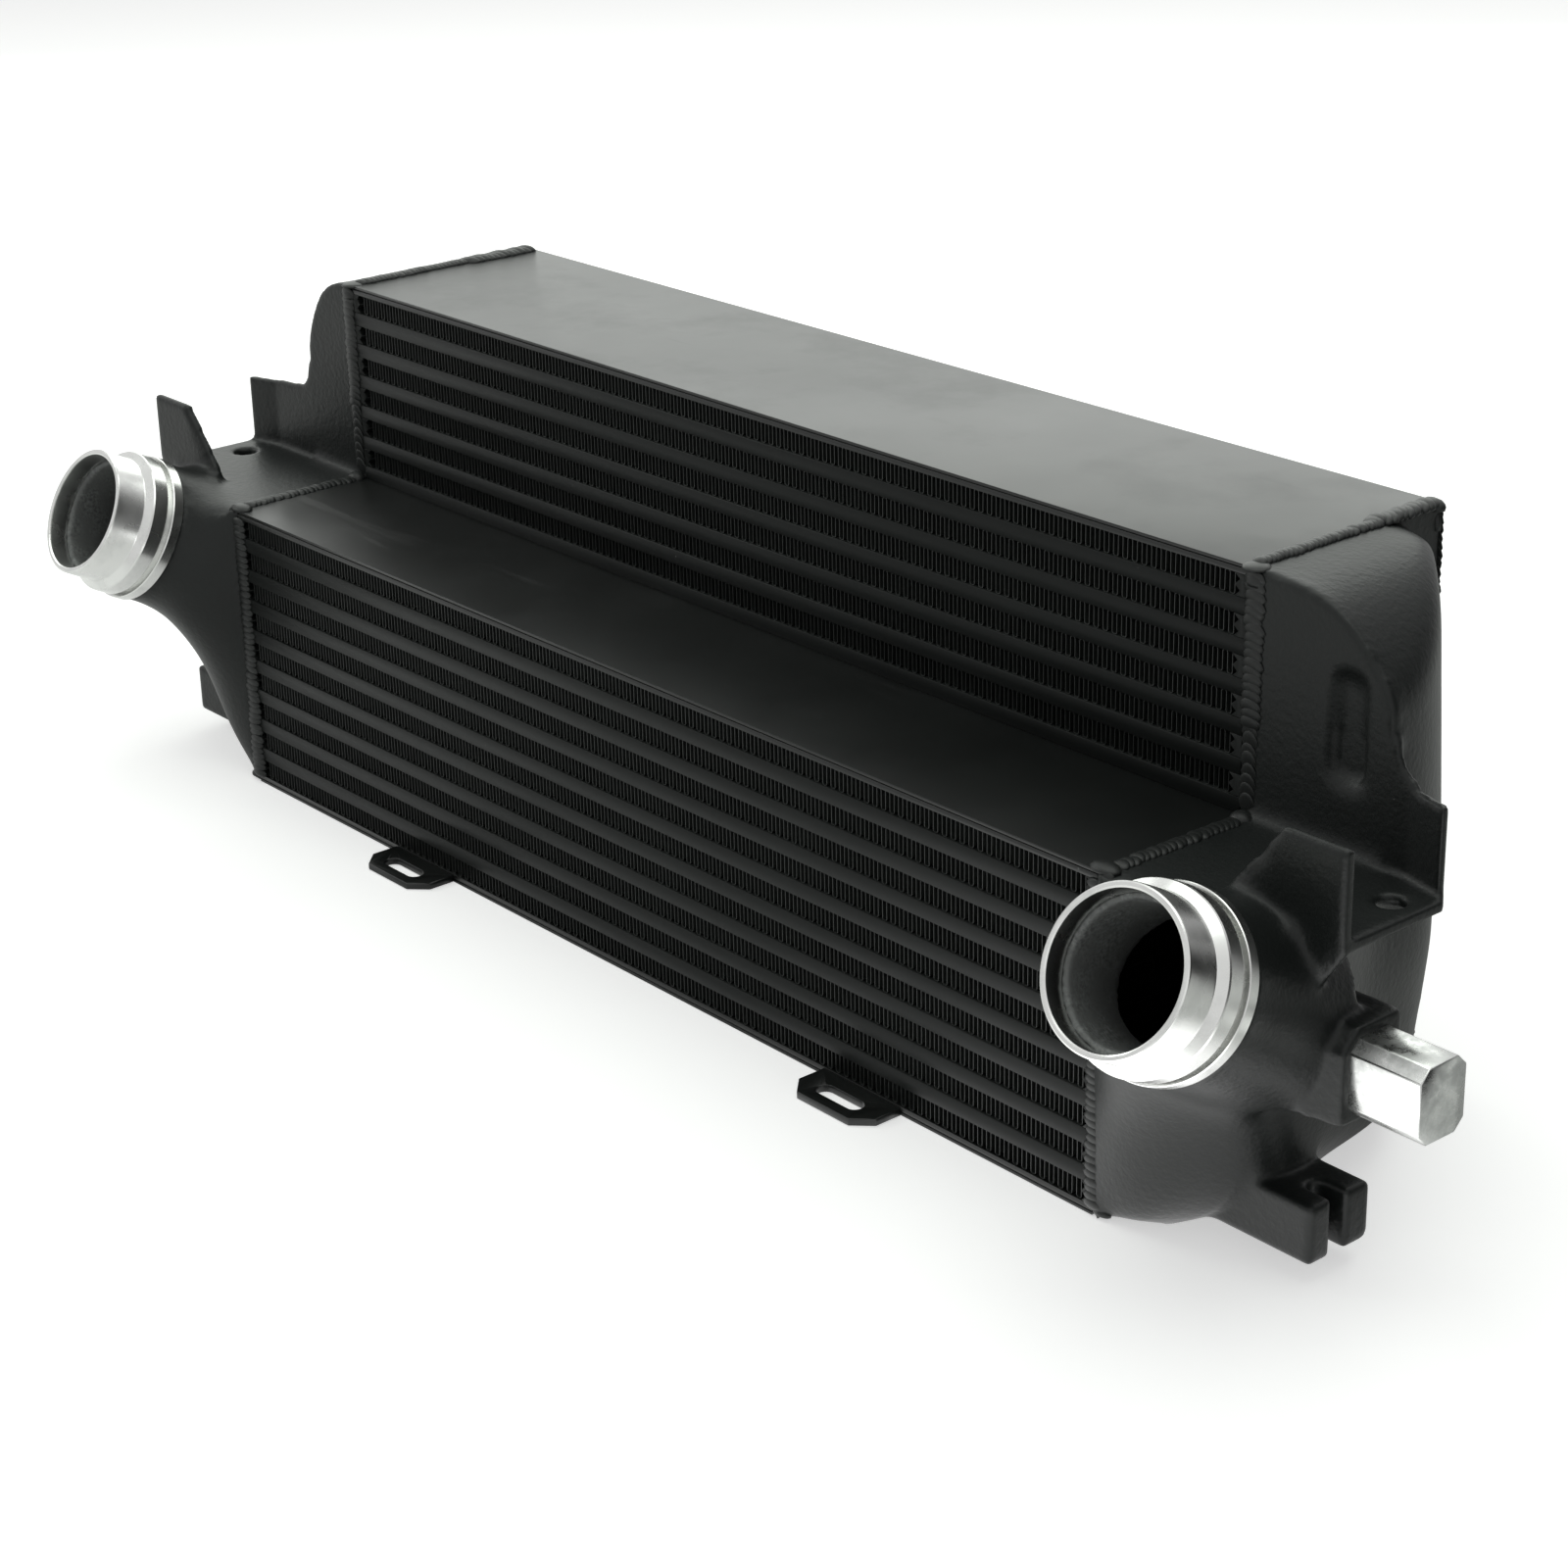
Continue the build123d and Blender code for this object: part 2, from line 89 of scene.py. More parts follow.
def group(name, inputs, outputs):
    """An empty node group; inputs are (name, kind, value), outputs are names of values."""
    tree = bpy.data.node_groups.new(name, "ShaderNodeTree")
    for label, kind, value in inputs:
        socket = tree.interface.new_socket(label, in_out="INPUT", socket_type=kind)
        if value is not None:
            socket.default_value = value
    for label in outputs:
        tree.interface.new_socket(label, in_out="OUTPUT", socket_type="NodeSocketFloat")
    return tree, tree.nodes.new("NodeGroupInput"), tree.nodes.new("NodeGroupOutput")


def stretched(tree, place, scale):
    """Coordinates drawn out by these factors."""
    node = tree.nodes.new("ShaderNodeMapping")
    node.inputs["Scale"].default_value = scale
    tree.links.new(place, node.inputs["Vector"])
    return node.outputs["Vector"]


def noise(tree, place, scale, detail=2.0, rough=0.5):
    """A noise of so many grains to the metre."""
    node = tree.nodes.new("ShaderNodeTexNoise")
    node.inputs["Scale"].default_value = scale
    node.inputs["Detail"].default_value = detail
    node.inputs["Roughness"].default_value = rough
    tree.links.new(place, node.inputs["Vector"])
    return node.outputs["Fac"]


def ramp(tree, value, low, high, out_low=0.0, out_high=1.0):
    """Carries a value from one range to another and holds it there."""
    node = tree.nodes.new("ShaderNodeMapRange")
    for label, number in (
        ("From Min", low), ("From Max", high), ("To Min", out_low), ("To Max", out_high)
    ):
        node.inputs[label].default_value = number
    tree.links.new(value, node.inputs["Value"])
    return node.outputs["Result"]


def feed(tree, socket, value):
    """Sets a socket to a number or colour, or links an output to it."""
    if isinstance(value, (int, float, tuple)):
        socket.default_value = value
    else:
        tree.links.new(value, socket)


def blend(tree, mask, first, second):
    """A colour that goes from first to second with the mask."""
    node = tree.nodes.new("ShaderNodeMix")
    node.data_type = "RGBA"
    feed(tree, node.inputs[0], mask)
    feed(tree, node.inputs[6], first)
    feed(tree, node.inputs[7], second)
    return node.outputs[2]


def maths(tree, operation, first, second=0.0):
    """One step of arithmetic on two values."""
    node = tree.nodes.new("ShaderNodeMath")
    node.operation = operation
    feed(tree, node.inputs[0], first)
    feed(tree, node.inputs[1], second)
    return node.outputs[0]


def toward(tree, place, direction, low, high):
    """How nearly a vector points this way, from 0 to 1."""
    node = tree.nodes.new("ShaderNodeVectorMath")
    node.operation = "DOT_PRODUCT"
    node.inputs[1].default_value = direction
    tree.links.new(place, node.inputs[0])
    return ramp(tree, node.outputs["Value"], low, high)


def relief(tree, shader, height, strength, distance):
    """Feeds a height to the shader's normal."""
    bump = tree.nodes.new("ShaderNodeBump")
    bump.inputs["Strength"].default_value = strength
    bump.inputs["Distance"].default_value = distance
    tree.links.new(height, bump.inputs["Height"])
    tree.links.new(bump.outputs["Normal"], shader.inputs["Normal"])


def sprayed_coat():
    """Orange peel, uneven shade and dust of a sprayed coat."""
    tree, given, out = group(
        "sprayed_coat",
        (("Place", "NodeSocketVector", None), ("Peel", "NodeSocketFloat", 1.0)),
        ("Height", "Shade", "Dust"),
    )
    place = given.outputs["Place"]
    peel = maths(tree, "MULTIPLY", noise(tree, place, 1100, 2.0), 0.4)
    peel = maths(tree, "ADD", peel, noise(tree, place, 420, 1.0))
    tree.links.new(maths(tree, "MULTIPLY", peel, given.outputs["Peel"]), out.inputs["Height"])
    tree.links.new(ramp(tree, noise(tree, place, 16, 4.0), 0.3, 0.7), out.inputs["Shade"])
    dots = tree.nodes.new("ShaderNodeTexVoronoi")
    dots.inputs["Scale"].default_value = 70
    tree.links.new(place, dots.inputs["Vector"])
    speck = ramp(tree, dots.outputs["Distance"], 0.03, 0.018)
    few = ramp(tree, noise(tree, place, 25, 1.0), 0.56, 0.6)
    tree.links.new(maths(tree, "MULTIPLY", speck, few), out.inputs["Dust"])
    return tree


def handling_scuffs():
    """Long faint rub marks and smears from handling."""
    tree, given, out = group(
        "handling_scuffs", (("Place", "NodeSocketVector", None),), ("Rub", "Smear")
    )
    place = given.outputs["Place"]
    turned = tree.nodes.new("ShaderNodeMapping")
    turned.inputs["Rotation"].default_value = (0, 0, 0.35)
    turned.inputs["Scale"].default_value = (5, 60, 5)
    tree.links.new(place, turned.inputs["Vector"])
    lines = ramp(tree, noise(tree, turned.outputs["Vector"], 1.0, 6.0, 0.65), 0.6, 0.72)
    where = ramp(tree, noise(tree, place, 9, 2.0), 0.5, 0.62)
    tree.links.new(maths(tree, "MULTIPLY", lines, where), out.inputs["Rub"])
    tree.links.new(ramp(tree, noise(tree, place, 22, 5.0, 0.6), 0.5, 0.72), out.inputs["Smear"])
    return tree


COAT = sprayed_coat()
SCUFFS = handling_scuffs()


UNEVEN = 1.35                       # how much lighter the coat is in its pale patches
RUBBED = (0.03, 0.03, 0.03, 1.0)
DUST = (0.3, 0.31, 0.3, 1.0)
PEEL_DEPTH = 0.12 * MM


def coated(name, colour, roughness, specular, peel, bump, scuffed=False):
    """Satin black coat over one kind of surface."""
    material, tree, shader, place = new_material(name)
    shader.inputs["Specular IOR Level"].default_value = specular
    coat = tree.nodes.new("ShaderNodeGroup")
    coat.node_tree = COAT
    coat.inputs["Peel"].default_value = peel
    tree.links.new(place, coat.inputs["Place"])
    lighter = tuple(channel * UNEVEN for channel in colour) + (1.0,)
    shade = blend(tree, coat.outputs["Shade"], colour + (1.0,), lighter)
    gloss = ramp(tree, coat.outputs["Shade"], 0, 1, roughness - 0.02, roughness + 0.03)
    if scuffed:
        scuffs = tree.nodes.new("ShaderNodeGroup")
        scuffs.node_tree = SCUFFS
        tree.links.new(place, scuffs.inputs["Place"])
        rub, smear = scuffs.outputs["Rub"], scuffs.outputs["Smear"]
        shade = blend(tree, maths(tree, "MULTIPLY", rub, 0.5), shade, RUBBED)
        gloss = maths(tree, "ADD", gloss, maths(tree, "MULTIPLY", rub, 0.14))
        gloss = maths(tree, "ADD", gloss, maths(tree, "MULTIPLY", smear, 0.05))
    dust = maths(tree, "MULTIPLY", coat.outputs["Dust"], 0.4)
    tree.links.new(blend(tree, dust, shade, DUST), shader.inputs["Base Color"])
    tree.links.new(gloss, shader.inputs["Roughness"])
    relief(tree, shader, coat.outputs["Height"], bump, PEEL_DEPTH)
    return material


def turned_aluminium(name, roughness):
    """Bare turned aluminium: fine rings round the spout, stains and small dings."""
    bright, stained = (0.7, 0.705, 0.69, 1), (0.44, 0.45, 0.44, 1)
    material, tree, shader, place = new_material(name)
    shader.inputs["Metallic"].default_value = 1.0
    stain = ramp(tree, noise(tree, place, 70, 6.0, 0.65), 0.48, 0.78, 0.0, 0.6)
    tree.links.new(blend(tree, stain, bright, stained), shader.inputs["Base Color"])
    tree.links.new(
        ramp(tree, noise(tree, place, 45, 4.0), 0.3, 0.7, roughness - 0.05, roughness + 0.08),
        shader.inputs["Roughness"],
    )
    rings = noise(tree, stretched(tree, place, (1.0, 30.0, 16.0)), 60, 3.0)
    fine = maths(tree, "ADD", rings, noise(tree, place, 900, 2.0))
    relief(tree, shader, fine, 0.1, 0.05 * MM)
    return material


def sawn_aluminium(name):
    """Bare sawn bar: mottled, duller in its blotches, with saw marks."""
    bright, dull = (0.64, 0.65, 0.635, 1), (0.48, 0.49, 0.48, 1)
    material, tree, shader, place = new_material(name)
    shader.inputs["Metallic"].default_value = 1.0
    blotch = ramp(tree, noise(tree, place, 130, 6.0, 0.7), 0.42, 0.62)
    tree.links.new(blend(tree, blotch, bright, dull), shader.inputs["Base Color"])
    tree.links.new(ramp(tree, blotch, 0, 1, 0.24, 0.42), shader.inputs["Roughness"])
    saw = noise(tree, stretched(tree, place, (1.0, 1.0, 14.0)), 220, 3.0)
    rough = maths(tree, "ADD", saw, noise(tree, place, 1200, 2.0))
    relief(tree, shader, rough, 0.2, 0.08 * MM)
    return material


def raw_casting(name):
    """As-cast aluminium in the bores, with a thin grey overspray and painted shade that darkens it
    down the bore.
    """
    dark, pale = (0.085, 0.09, 0.088, 1), (0.26, 0.27, 0.265, 1)
    oversprayed, painted_bore_shade = (0.14, 0.145, 0.142, 1), (0.012, 0.012, 0.012, 1)
    out_of_bore = (0, -0.884, 0.466)
    material, tree, shader, place = new_material(name)
    shader.inputs["Metallic"].default_value = 0.35
    grain = ramp(tree, noise(tree, place, 800, 3.0, 0.6), 0.35, 0.7)
    cloud = ramp(tree, noise(tree, place, 90, 4.0), 0.35, 0.65)
    shade = blend(tree, cloud, blend(tree, grain, dark, pale), oversprayed)
    # Painted shade: near black deep in the bore, fading to the cast colour at the mouth.
    painted_shade_fade = toward(tree, place, out_of_bore, 0.1, 0.15)
    tree.links.new(blend(tree, painted_shade_fade, painted_bore_shade, shade), shader.inputs["Base Color"])
    tree.links.new(ramp(tree, grain, 0, 1, 0.6, 0.75), shader.inputs["Roughness"])
    relief(tree, shader, noise(tree, place, 700, 4.0, 0.65), 0.7, 0.25 * MM)
    return material


# name, colour, roughness, specular level, grain of the peel, strength of the peel
PLATE = coated("satin_black_plate", (0.0066, 0.0075, 0.0071), 0.33, 0.44, 0.5, 0.08, True)
BAR = coated("satin_black_bar", (0.0072, 0.0083, 0.0078), 0.45, 0.17, 0.8, 0.12)
FIN = coated("matte_black_fin", (0.015, 0.017, 0.016), 0.4, 0.6, 0.5, 0.05)
CAST = coated("satin_black_casting", (0.0088, 0.0103, 0.0098), 0.41, 0.25, 1.5, 0.95)
WELD = coated("satin_black_weld", (0.0105, 0.0118, 0.0112), 0.42, 0.32, 0.8, 0.25)
TURNED = turned_aluminium("bare_turned_aluminium", 0.25)
SAWN = sawn_aluminium("bare_sawn_aluminium")
RAW = raw_casting("raw_cast_bore")


# ================= modelling helpers =================
def only(piece):
    """Selects one object alone and makes it the active one."""
    bpy.ops.object.select_all(action="DESELECT")
    piece.select_set(True)
    bpy.context.view_layer.objects.active = piece


def shape(piece):
    """Opens one object's mesh for modelling."""
    only(piece)
    bpy.ops.object.mode_set(mode="EDIT")


def done():
    """Closes the mesh again."""
    bpy.ops.object.mode_set(mode="OBJECT")


def pick(kind, test):
    """Selects the verts, edges or faces, in edit mode, whose middle passes the test."""
    piece = bpy.context.edit_object
    mesh = bmesh.from_edit_mesh(piece.data)
    bpy.ops.mesh.select_mode(type={"verts": "VERT", "edges": "EDGE", "faces": "FACE"}[kind])
    bpy.ops.mesh.select_all(action="DESELECT")
    for part in getattr(mesh, kind):
        if kind == "verts":
            middle = part.co
        elif kind == "edges":
            middle = (part.verts[0].co + part.verts[1].co) / 2
        else:
            middle = part.calc_center_median()
        if test(middle):
            part.select_set(True)
    bmesh.update_edit_mesh(piece.data)


def modify(piece, kind, **settings):
    """Adds a modifier with these settings and applies it."""
    modifier = piece.modifiers.new(kind.lower(), kind)
    for key, value in settings.items():
        setattr(modifier, key, value)
    only(piece)
    bpy.ops.object.modifier_apply(modifier=modifier.name)


def copy_of(node, name):
    """A welded copy of a node's mesh, to be reworked as a new piece."""
    piece = bpy.data.objects.new(name, nodes[node].data.copy())
    bpy.context.collection.objects.link(piece)
    piece.data.materials.clear()
    shape(piece)
    bpy.ops.mesh.select_all(action="SELECT")
    bpy.ops.mesh.remove_doubles(threshold=0.01 * MM)
    done()
    return piece


def twin(piece, name, matrix):
    """A copy of a piece with its own mesh, set in its own place."""
    copy = bpy.data.objects.new(name, piece.data.copy())
    copy.data.transform(matrix)
    bpy.context.collection.objects.link(copy)
    return copy


def join(pieces, name):
    """Joins pieces into the first one."""
    bpy.ops.object.select_all(action="DESELECT")
    for piece in pieces:
        piece.select_set(True)
    bpy.context.view_layer.objects.active = pieces[0]
    bpy.ops.object.join()
    pieces[0].name = name
    return pieces[0]


def finish(piece, materials, slot, *replaced):
    """Materials and body of a finished piece; its slot is not used."""
    piece.data.materials.clear()
    for material in materials:
        piece.data.materials.append(material)
    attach(piece, "root")
    if replaced:
        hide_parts(*replaced)


def whole_faces(piece):
    """Makes whole faces of the copy's triangles."""
    shape(piece)
    bpy.ops.mesh.select_all(action="SELECT")
    bpy.ops.mesh.dissolve_limited(angle_limit=radians(2))
    done()


def round_edges(piece, width, segments):
    """Bevels the sharp edges and shades the rounds smooth."""
    modify(
        piece, "BEVEL", width=width, segments=segments, limit_method="ANGLE",
        angle_limit=radians(30), harden_normals=True,
    )
    only(piece)
    bpy.ops.object.shade_smooth_by_angle(angle=radians(35))


def soften(piece, width, segments=2):
    """Whole faces with rounded edges between them."""
    whole_faces(piece)
    round_edges(piece, width, segments)


# ================= core =================
SEAM_DEPTH = 0.7 * MM
SEAM_WIDTH = 0.45 * MM
SEAM_HEIGHTS = {"bottom_plate": 1.1 * MM, "step_plate": 2.0 * MM, "top_plate": 2.0 * MM}
SHEET_ROUND, BAR_ROUND, END_ROUND, TAB_ROUND = 0.14 * MM, 0.4 * MM, 0.35 * MM, 0.45 * MM


def seam_line(piece, front, height):
    """The brazed seam between a sheet and its bar: a fine groove in the front edge."""
    shape(piece)
    for level in (height, height + SEAM_WIDTH):
        bpy.ops.mesh.select_all(action="SELECT")
        bpy.ops.mesh.bisect(plane_co=(0, 0, level), plane_no=(0, 0, 1))
    pick("faces", lambda m: abs(m.y - front) < 0.05 * MM and height < m.z < height + SEAM_WIDTH)
    bpy.ops.mesh.extrude_region_move(TRANSFORM_OT_translate={"value": (0, SEAM_DEPTH, 0)})
    done()


def sheets_and_bars():
    """Plates with their seam, tubes, end bars and tabs, from their own outlines."""
    for node in nodes:
        if node in SEAM_HEIGHTS:
            piece = copy_of(node, node.replace("plate", "sheet"))
            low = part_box(node)[0]
            whole_faces(piece)
            seam_line(piece, low.y, low.z + SEAM_HEIGHTS[node])
            round_edges(piece, SHEET_ROUND, 2)
            finish(piece, [PLATE], "coated_sheet", node)
        elif "_tube_" in node:
            piece = copy_of(node, node.replace("tube", "bar"))
            soften(piece, BAR_ROUND, 3)
            finish(piece, [BAR], "coated_sheet", node)
        elif "_end_bars_" in node:
            piece = copy_of(node, node.replace("end_bars", "closing_bars"))
            soften(piece, END_ROUND)
            finish(piece, [BAR], "coated_sheet", node)
        elif node.endswith("_tab"):
            piece = copy_of(node, node + "_strip")
            soften(piece, TAB_ROUND)
            finish(piece, [PLATE], "coated_sheet", node)


FOLD = 4.4 * MM             # one fold of the strip, crest to crest
FOLD_BEND = 0.7 * MM
FIN_GAUGE = 0.24 * MM
FRONT_STRIP = 6.0 * MM      # the strip is lanced this far behind its edges


def strip(x, front, back, low, high, fold, folds):
    """A folded strip: one crest drawn out along the fold, then repeated."""
    crest = fold / 2 - 2 * FOLD_BEND
    middle = Vector((x + FOLD_BEND + crest / 2, (front + back) / 2, high))
    bpy.ops.mesh.primitive_plane_add(size=1, location=(0, 0, 0))
    piece = bpy.context.active_object
    shape(piece)
    bpy.ops.mesh.select_all(action="SELECT")
    bpy.ops.transform.resize(value=(crest, back - front, 1), center_override=(0, 0, 0))
    bpy.ops.transform.translate(value=middle)
    edge = middle.x + crest / 2
    pick("edges", lambda m: m.x > edge - 0.01 * MM)
    bend, ease = FOLD_BEND, 0.3 * FOLD_BEND
    leg = high - low - 2 * bend
    for across, up in (
        (bend - ease, -ease), (ease, ease - bend), (0, -leg), (ease, ease - bend),
        (bend - ease, -ease), (crest, 0), (bend - ease, ease), (ease, bend - ease), (0, leg),
        (ease, bend - ease), (bend - ease, ease),
    ):
        bpy.ops.mesh.extrude_edges_move(TRANSFORM_OT_translate={"value": (across, 0, up)})
    done()
    modify(
        piece, "ARRAY", count=folds, use_relative_offset=False, use_constant_offset=True,
        constant_offset_displace=(fold, 0, 0), use_merge_vertices=True, merge_threshold=0.02 * MM,
    )
    return piece


def fin_row(node):
    """One row: an outer strip at the front and back, the rest lanced half a fold aside."""
    low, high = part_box(node)
    folds = round((high.x - low.x) / FOLD)
    fold = (high.x - low.x) / folds
    bottom, top = low.z + FIN_GAUGE / 2, high.z - FIN_GAUGE / 2
    lanced, plain = low.y + FRONT_STRIP, high.y - FRONT_STRIP
    parts = [
        strip(low.x, low.y, lanced, bottom, top, fold, folds),
        strip(low.x + fold / 2, lanced, plain, bottom, top, fold, folds - 1),
        strip(low.x, plain, high.y, bottom, top, fold, folds),
    ]
    piece = join(parts, "fin_pattern")
    modify(piece, "SOLIDIFY", thickness=FIN_GAUGE, offset=0)
    only(piece)
    bpy.ops.object.shade_smooth_by_angle(angle=radians(50))
    return piece


def fins():
    """The rows of both blocks, each a copy of its block's first row."""
    for block in ("lower", "upper"):
        first = block + "_fin_1"
        pattern = fin_row(first)
        rows = [node for node in nodes if node.startswith(block + "_fin_")]
        for node in rows:
            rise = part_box(node)[0].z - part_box(first)[0].z
            row = twin(pattern, node.replace("fin", "folded_fin"), Matrix.Translation((0, 0, rise)))
            finish(row, [FIN], "coated_fins", node)
        bpy.data.objects.remove(pattern)


# ================= end tanks =================
def boss_skirt(side):
    """The drafted foot of the peg's boss, wider where it leaves the bowl."""
    hand = HAND[side]
    outer, inner = CORE_END + 90.2 * MM, CORE_END + 56 * MM
    low, high = 62.2 * MM, 95.2 * MM
    near, far = FRONT + 17.8 * MM, FRONT + 45.2 * MM
    bpy.ops.mesh.primitive_cube_add(size=1, location=(0, 0, 0))
    piece = bpy.context.active_object
    piece.name = side + "_boss_skirt"
    middle = (hand * (outer + inner) / 2, (near + far) / 2, (low + high) / 2)
    size = (outer - inner, far - near, high - low)
    foot = (hand * inner, far, low + 12 * MM)
    shape(piece)
    bpy.ops.mesh.select_all(action="SELECT")
    bpy.ops.transform.resize(value=size, center_override=(0, 0, 0))
    bpy.ops.transform.translate(value=middle)
    pick("edges", lambda m: m.y < near + 0.1 * MM and m.z > high - 0.1 * MM)
    bpy.ops.mesh.bevel(offset=6.8 * MM, segments=1)
    pick("faces", lambda m: abs(m.x - hand * inner) < 0.1 * MM)
    bpy.ops.transform.resize(value=(1, 1.12, 1.1), center_override=foot)
    bpy.ops.transform.translate(value=(0, -2 * MM, 0))
    done()
    return piece


# Outer face of the walls that would be too thin for one skin, front to back: the
# rear wall where bowl and pod meet, and the left bowl beside its boss. Each has its
# lower and upper height, then reach and depth of its lower and its upper edge, in mm.
THIN_WALLS = {
    "right": (
        (110, 125.5, (
            (57.1, -13.0, 63.3, -13.0), (54.0, -1.3, 62.7, -1.9), (51.2, 10.8, 60.7, 7.2),
            (47.6, 18.8, 57.3, 15.8), (42.8, 31.6, 50.5, 27.6), (38.1, 38.6, 44.0, 35.3),
            (29.9, 47.6, 35.0, 44.6), (16.9, 61.4, 24.3, 55.6), (2.5, 77.9, 2.5, 78.8),
        )),
    ),
    "left": (
        (110, 125.5, (
            (37.1, -13.0, 40.5, -13.0), (32.0, -1.9, 40.3, -0.7), (30.5, 5.8, 39.3, 6.0),
            (28.7, 18.5, 36.9, 14.8), (27.1, 29.2, 33.7, 23.6), (25.4, 35.2, 28.9, 33.7),
            (20.9, 43.6, 23.7, 42.4), (14.5, 54.8, 16.0, 55.3), (2.5, 76.2, 2.5, 77.5),
        )),
        (100, 121, (
            (66.5, -47.1, 70.8, -46.5), (59.3, -38.8, 61.0, -36.8), (54.4, -34.5, 52.9, -29.7),
            (48.5, -27.2, 47.8, -24.6), (39.5, -15.5, 38.2, -14.3), (34.6, -6.1, 37.5, -8.0),
        )),
    ),
}
WALL = 3.2 * MM


def wall_patch(side, low, high, columns):
    """A piece of wall of even thickness under one of those outer faces."""
    hand = HAND[side]
    bpy.ops.mesh.primitive_grid_add(
        x_subdivisions=len(columns) - 1, y_subdivisions=1, size=2, location=(0, 0, 0)
    )
    piece = bpy.context.active_object
    shape(piece)
    for k, (low_reach, low_y, high_reach, high_y) in enumerate(columns):
        column = -1 + 2 * k / (len(columns) - 1)
        for row, reach, y, z in ((-1, low_reach, low_y, low), (1, high_reach, high_y, high)):
            pick("verts", lambda m: abs(m.x - column) < 0.05 and abs(m.y - row) < 0.05)
            place = Vector((hand * (CORE_END + reach * MM), y * MM, z * MM))
            bpy.ops.transform.translate(value=place - Vector((column, row, 0)))
    done()
    modify(piece, "SOLIDIFY", thickness=WALL, offset=-hand)
    return piece


def hold(value, full, none):
    """1 on the full side of a slope, 0 beyond its other end."""
    return np.clip((value - none) / (full - none), 0, 1)


def vectors(parts, field):
    """One vector of every vertex or polygon, as rows of an array."""
    values = np.empty(3 * len(parts), dtype=np.float32)
    parts.foreach_get(field, values)
    return values.reshape(-1, 3)


def from_spout(place, side):
    """How far points lie behind a spout's lip and away from its axis."""
    lip, axis = spout_axis(side)
    behind = (np.array(lip) - place) @ np.array(axis)
    apart = place - np.array(lip) + behind[:, None] * np.array(axis)
    return behind, np.linalg.norm(apart, axis=1)


VOXEL = 1.4 * MM
DIMPLE_REACH, DIMPLE_RISE = 44.5 * MM, 43 * MM      # middle of the right pod's hollow
DIMPLE_HALF_WIDTH, DIMPLE_HALF_HEIGHT = 6 * MM, 17 * MM
DIMPLE_DEPTH = 2.2 * MM
BLEND_LEVELS = 20
BLEND_PASSES = 320
POD_WIDTHS = {"right": 60 * MM, "left": 37 * MM}


def broad_walls(place, side):
    """How freely each point of the casting may blend into its neighbours."""
    behind, radius = from_spout(place, side)
    reach, y, z = HAND[side] * place[:, 0] - CORE_END, place[:, 1], place[:, 2]
    rim = hold(reach, 8 * MM, 3 * MM)

    pod = hold(z, STEP_TOP + 48 * MM, STEP_TOP + 38 * MM)
    pod = pod * hold(y, STEP_FACE + 9 * MM, STEP_FACE + 3 * MM)

    bowl = hold(y, FRONT + 8 * MM, FRONT + 14 * MM)
    bowl = bowl * hold(behind, NECK_END + 10 * MM, NECK_END + 3 * MM)
    bore = radius < 27 * MM
    bowl[bore] *= hold(behind[bore], 70 * MM, 60 * MM)

    neck = hold(y, FRONT + 10 * MM, FRONT + 16 * MM) * hold(radius, 44 * MM, 52 * MM)
    neck *= hold(radius, 30 * MM, 28 * MM) * hold(behind, NECK_END + 8 * MM, NECK_END + 2 * MM)

    # The fillet between shelf and pod.
    pod_end = POD_WIDTHS[side]
    corner = hold(y, STEP_FACE - 5 * MM, STEP_FACE - 9 * MM)
    corner = corner * hold(y, STEP_FACE + 1 * MM, STEP_FACE + 3 * MM)
    above = hold(z, STEP_TOP - 1 * MM, STEP_TOP - 2 * MM)
    corner *= above * hold(z, STEP_TOP + 7 * MM, STEP_TOP + 12 * MM)
    corner *= 0.25 * hold(reach, 6 * MM, 3 * MM) * hold(reach, pod_end, pod_end + 4 * MM)

    dimple = hold(abs(reach - DIMPLE_REACH), 10 * MM, 15 * MM)
    dimple = dimple * hold(abs(z - STEP_TOP - DIMPLE_RISE), 23 * MM, 28 * MM)
    dimple *= 0.07 * hold(y, STEP_FACE + 3 * MM, STEP_FACE + 4 * MM)
    if side == "left":
        dimple *= 0

    under = hold(z, 36 * MM, 29 * MM) * hold(z, 52 * MM, 58 * MM)
    under = under * hold(y, BACK - 20 * MM, BACK - 12 * MM)

    # The boss stays crisp.
    boss = hold(reach, 64 * MM, 57 * MM) * hold(z, 56 * MM, 51 * MM) * hold(z, 98 * MM, 104 * MM)
    bowl *= 1 - boss * hold(y, FRONT + 3 * MM, FRONT - 4 * MM)
    under *= 1 - boss
    masks = [0.5 * pod * rim, bowl * rim, neck * rim, under * rim, corner, dimple]
    return np.maximum.reduce(masks)


def press_dimple(piece):
    """Pushes the bottom of the right pod's hollow further in."""
    shape(piece)
    pick("verts", lambda m: (
        abs(m.x - (CORE_END + DIMPLE_REACH)) < DIMPLE_HALF_WIDTH
        and abs(m.z - STEP_TOP - DIMPLE_RISE) < DIMPLE_HALF_HEIGHT
        and 0.8 * MM < m.y - STEP_FACE < 2.8 * MM
    ))
    bpy.ops.transform.translate(value=(0, DIMPLE_DEPTH, 0))
    done()


